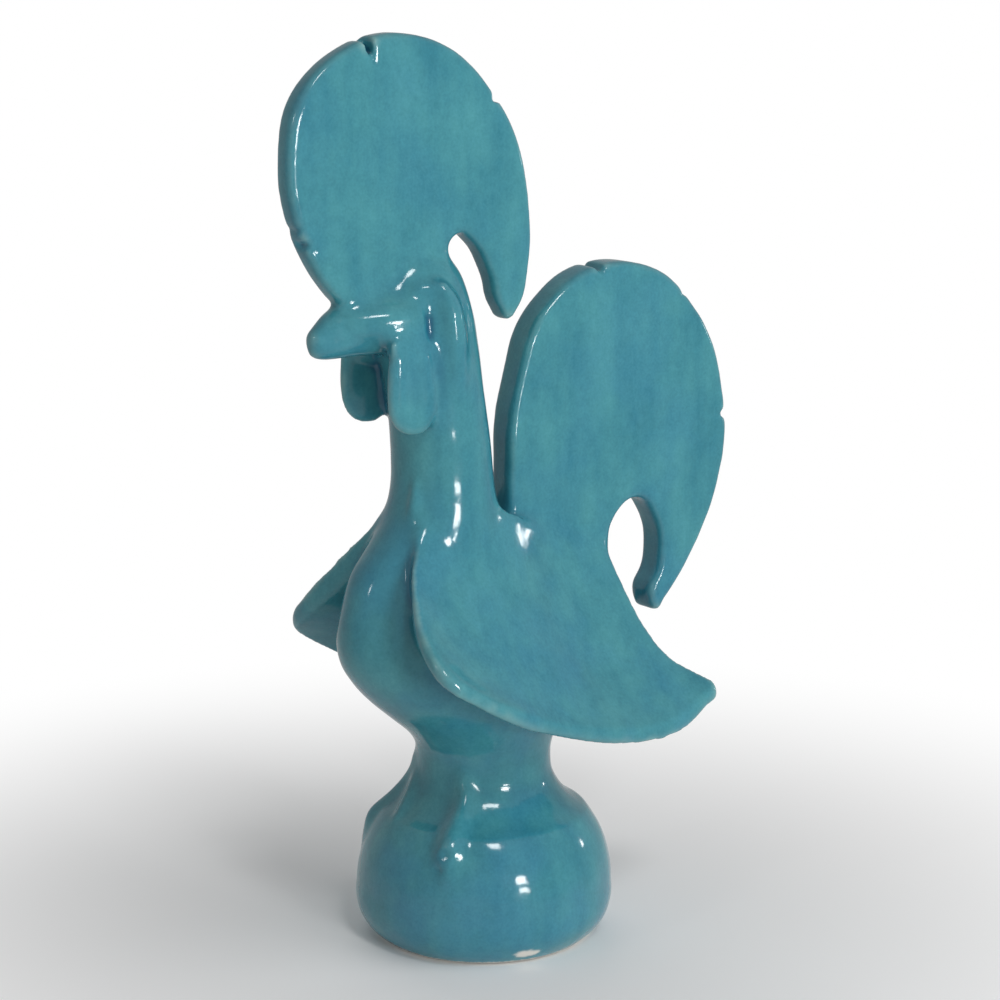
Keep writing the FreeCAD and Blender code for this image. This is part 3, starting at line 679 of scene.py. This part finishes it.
def glazed_earthenware():
    """Turquoise alkaline glaze on white earthenware: glassy, thick, bluer and darker with painted
    shade where it pools, thin, greyish green and paler with a painted highlight where it ran off
    the rims, bare clay on the standing ring."""
    material = bpy.data.materials.new("glazed_earthenware")
    material.use_nodes = True
    tree = material.node_tree
    shader = tree.nodes["Principled BSDF"]
    place = add_node(tree, "TexCoord").outputs["Object"]
    bulge = add_node(tree, "Attribute", attribute_name="bulge").outputs["Fac"]
    bare = add_node(tree, "Attribute", attribute_name="bare").outputs["Fac"]
    # Thickness of the glaze in clouds and runs, from the deep to the light colour
    clouds = add_node(tree, "TexNoise", {"Vector": place, "Scale": 1 / CLOUD_SIZE, "Detail": 4.0,
                                         "Roughness": 0.6}).outputs["Fac"]
    fall = add_node(tree, "Mapping", {"Vector": place,
                                      "Scale": (1.0, 1.0, RUN_FLATTENING)}).outputs[0]
    runs = add_node(tree, "TexNoise", {"Vector": fall, "Scale": 1 / RUN_WIDTH, "Detail": 4.0,
                                       "Roughness": 0.5}).outputs["Fac"]
    broad = add_node(tree, "Mix", {"Factor": RUN_SHARE, "A": clouds, "B": runs}).outputs[0]
    body = add_node(tree, "ValToRGB", {"Fac": broad})
    body.color_ramp.elements[0].position = DEEP_NOISE
    body.color_ramp.elements[0].color = linear(GLAZE_DEEP)
    body.color_ramp.elements[1].position = LIGHT_NOISE
    body.color_ramp.elements[1].color = linear(GLAZE_LIGHT)
    # Bluer patches, more of them low down
    patches = add_node(tree, "TexNoise", {"Vector": place, "Scale": 1 / PATCH_SIZE, "Detail": 3.0,
                                          "Roughness": 0.6}).outputs["Fac"]
    height = add_node(tree, "SeparateXYZ", {"Vector": place}).outputs["Z"]
    most = add_node(tree, "MapRange", {
        "Value": height, "From Min": PATCH_HEIGHTS[0], "From Max": PATCH_HEIGHTS[1],
        "To Min": PATCH_SHARES[0], "To Max": PATCH_SHARES[1]}).outputs["Result"]
    blue = add_node(tree, "MapRange", {
        "Value": patches, "From Min": PATCH_NOISES[0], "From Max": PATCH_NOISES[1],
        "To Max": most}, interpolation_type="SMOOTHSTEP").outputs["Result"]
    blued = add_node(tree, "Mix", {"Factor": blue, "A": body.outputs["Color"],
                                   "B": linear(GLAZE_BLUE)}, data_type="RGBA").outputs[2]
    # Mottle and specks darken and lighten it, the red in it most
    mottle = add_node(tree, "TexNoise", {"Vector": place, "Scale": 1 / MOTTLE_SIZE, "Detail": 3.0,
                                         "Roughness": 0.6}).outputs["Fac"]
    specks = add_node(tree, "TexNoise", {"Vector": place, "Scale": 1 / SPECK_SIZE, "Detail": 1.0,
                                         "Roughness": 0.5}).outputs["Fac"]
    close = add_node(tree, "Mix", {"Factor": SPECK_SHARE, "A": mottle, "B": specks}).outputs[0]
    fine = add_node(tree, "Mix", {"Factor": close, "A": MOTTLE_DARK, "B": MOTTLE_LIGHT},
                    data_type="RGBA").outputs[2]
    toned = add_node(tree, "Mix", {"Factor": 1.0, "A": blued, "B": fine}, data_type="RGBA",
                     blend_type="MULTIPLY").outputs[2]
    # Thin on the rims and painted paler there as a highlight, pooled in the hollows and painted
    # darker there as shade, wiped off the clay that stays bare
    thin_highlight = add_node(tree, "MapRange", {
        "Value": bulge, "From Min": THIN_HIGHLIGHT_BULGES[0], "From Max": THIN_HIGHLIGHT_BULGES[1],
        "To Max": THIN_HIGHLIGHT_SHARE}, interpolation_type="SMOOTHSTEP").outputs["Result"]
    thinned_highlighted = add_node(tree, "Mix", {"Factor": thin_highlight, "A": toned, "B": linear(GLAZE_THIN_RIM_HIGHLIGHT)},
                       data_type="RGBA").outputs[2]
    pool_shade = add_node(tree, "MapRange", {
        "Value": bulge, "From Min": POOL_SHADE_BULGES[0], "From Max": POOL_SHADE_BULGES[1],
        "To Max": POOL_SHADE_SHARE}, interpolation_type="SMOOTHSTEP").outputs["Result"]
    pooled_shaded = add_node(tree, "Mix", {"Factor": pool_shade, "A": thinned_highlighted, "B": linear(GLAZE_POOLED_SHADE)},
                      data_type="RGBA").outputs[2]
    colour = add_node(tree, "Mix", {"Factor": bare, "A": pooled_shaded, "B": linear(CLAY_BARE)},
                      data_type="RGBA").outputs[2]
    tree.links.new(colour, shader.inputs["Base Color"])
    gloss = add_node(tree, "MapRange", {"Value": bare, "To Min": GLAZE_ROUGHNESS,
                                        "To Max": CLAY_ROUGHNESS}).outputs["Result"]
    tree.links.new(gloss, shader.inputs["Roughness"])
    shader.inputs["IOR"].default_value = GLAZE_IOR
    peel = add_node(tree, "TexNoise", {"Vector": place, "Scale": 1 / PEEL_SIZE,
                                       "Detail": 2.0}).outputs["Fac"]
    bump = add_node(tree, "Bump", {"Height": peel, "Strength": PEEL_STRENGTH,
                                   "Distance": PEEL_DEPTH}).outputs["Normal"]
    tree.links.new(bump, shader.inputs["Normal"])
    return material


def white_paper():
    """Matt white paper that the camera sees fade to plain white away from the shadow."""
    material = bpy.data.materials.new("white_paper")
    material.use_nodes = True
    tree = material.node_tree
    shader = tree.nodes["Principled BSDF"]
    shader.inputs["Base Color"].default_value = linear(PAPER)
    shader.inputs["Roughness"].default_value = PAPER_ROUGHNESS
    shader.inputs["Specular IOR Level"].default_value = 0.0
    place = add_node(tree, "TexCoord").outputs["Object"]
    away = add_node(tree, "VectorMath", {0: place}, operation="LENGTH").outputs["Value"]
    fade = add_node(tree, "MapRange", {"Value": away, "From Min": PAPER_FADE[0],
                                       "From Max": PAPER_FADE[1]},
                    interpolation_type="SMOOTHSTEP").outputs["Result"]
    path = add_node(tree, "LightPath")
    seen = add_node(tree, "Math", {0: path.outputs["Is Camera Ray"],
                                   1: path.outputs["Is Glossy Ray"]},
                    operation="MAXIMUM").outputs[0]
    amount = add_node(tree, "Math", {0: seen, 1: fade}, operation="MULTIPLY").outputs[0]
    strength = add_node(tree, "MapRange", {"Value": path.outputs["Is Camera Ray"],
                                           "To Min": PAPER_MIRRORED}).outputs["Result"]
    glow = add_node(tree, "Emission", {"Color": (1, 1, 1, 1), "Strength": strength}).outputs[0]
    mixed = add_node(tree, "MixShader", {"Fac": amount, 1: shader.outputs[0], 2: glow}).outputs[0]
    tree.links.new(mixed, tree.nodes["Material Output"].inputs["Surface"])
    return material


def white_room():
    """Even white light all round, which the camera sees as plain white."""
    world = bpy.data.worlds.new("room_light")
    world.use_nodes = True
    tree = world.node_tree
    background = tree.nodes["Background"]
    path = add_node(tree, "LightPath")
    plain = add_node(tree, "MapRange", {"Value": path.outputs["Is Camera Ray"],
                                        "To Min": ROOM_LIGHT}).outputs["Result"]
    strength = add_node(tree, "Math", {0: path.outputs["Is Glossy Ray"], 1: ROOM_MIRRORED,
                                       2: plain}, operation="MULTIPLY_ADD").outputs[0]
    background.inputs["Color"].default_value = (1, 1, 1, 1)
    tree.links.new(strength, background.inputs["Strength"])
    return world


def aim(name, data, around, up, away, target):
    """Places a lamp or camera round the rooster and turns it to its target."""
    item = bpy.data.objects.new(name, data)
    bpy.context.scene.collection.objects.link(item)
    turn, lift = math.radians(around), math.radians(up)
    way = Vector((math.sin(turn) * math.cos(lift), -math.cos(turn) * math.cos(lift),
                  math.sin(lift)))
    item.location = target + way * away
    item.rotation_euler = (-way).to_track_quat("-Z", "Y").to_euler()
    return item


# The clay, cut into its parts
clay = built_clay()
work_clay(clay)
skin = read_skin(clay.data)
pieces = {node: take_off(clay, node, region_of(node, reach)) for node, reach in SPLIT}
pieces["base_bell"] = take_off(clay, "base_bell", foot_space())
pieces["body"] = clay

# The glaze, one dip for them all
glaze = glazed_earthenware()
for node, piece in pieces.items():
    piece.name = "glazed_" + node
    clean(piece.data)
    share_skin(piece.data, skin)
    piece.data.materials.clear()
    piece.data.materials.append(glaze)
    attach(piece, "root")
    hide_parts(node)

# Floor, light and camera
deselect()
bpy.ops.mesh.primitive_plane_add(size=PAPER_WIDTH, location=(0, 0, 0))
floor = bpy.context.active_object
floor.name = "floor"
floor.data.materials.append(white_paper())
bpy.context.scene.world = white_room()
for name, around, up, wide, high, power, mirrored in LAMPS:
    lamp = bpy.data.lights.new(name, "AREA")
    lamp.shape = "RECTANGLE"
    lamp.size = wide
    lamp.size_y = high
    lamp.energy = power
    aim(name, lamp, around, up, LAMP_AWAY, LAMP_TARGET).visible_glossy = mirrored

eye = bpy.data.cameras.new("eye")
eye.lens = CAMERA_LENS
eye.sensor_width = CAMERA_SENSOR
camera = aim("eye", eye, CAMERA_ROUND, CAMERA_UP, CAMERA_AWAY, CAMERA_TARGET)
bpy.context.scene.camera = camera
bpy.context.scene.view_settings.view_transform = "Standard"
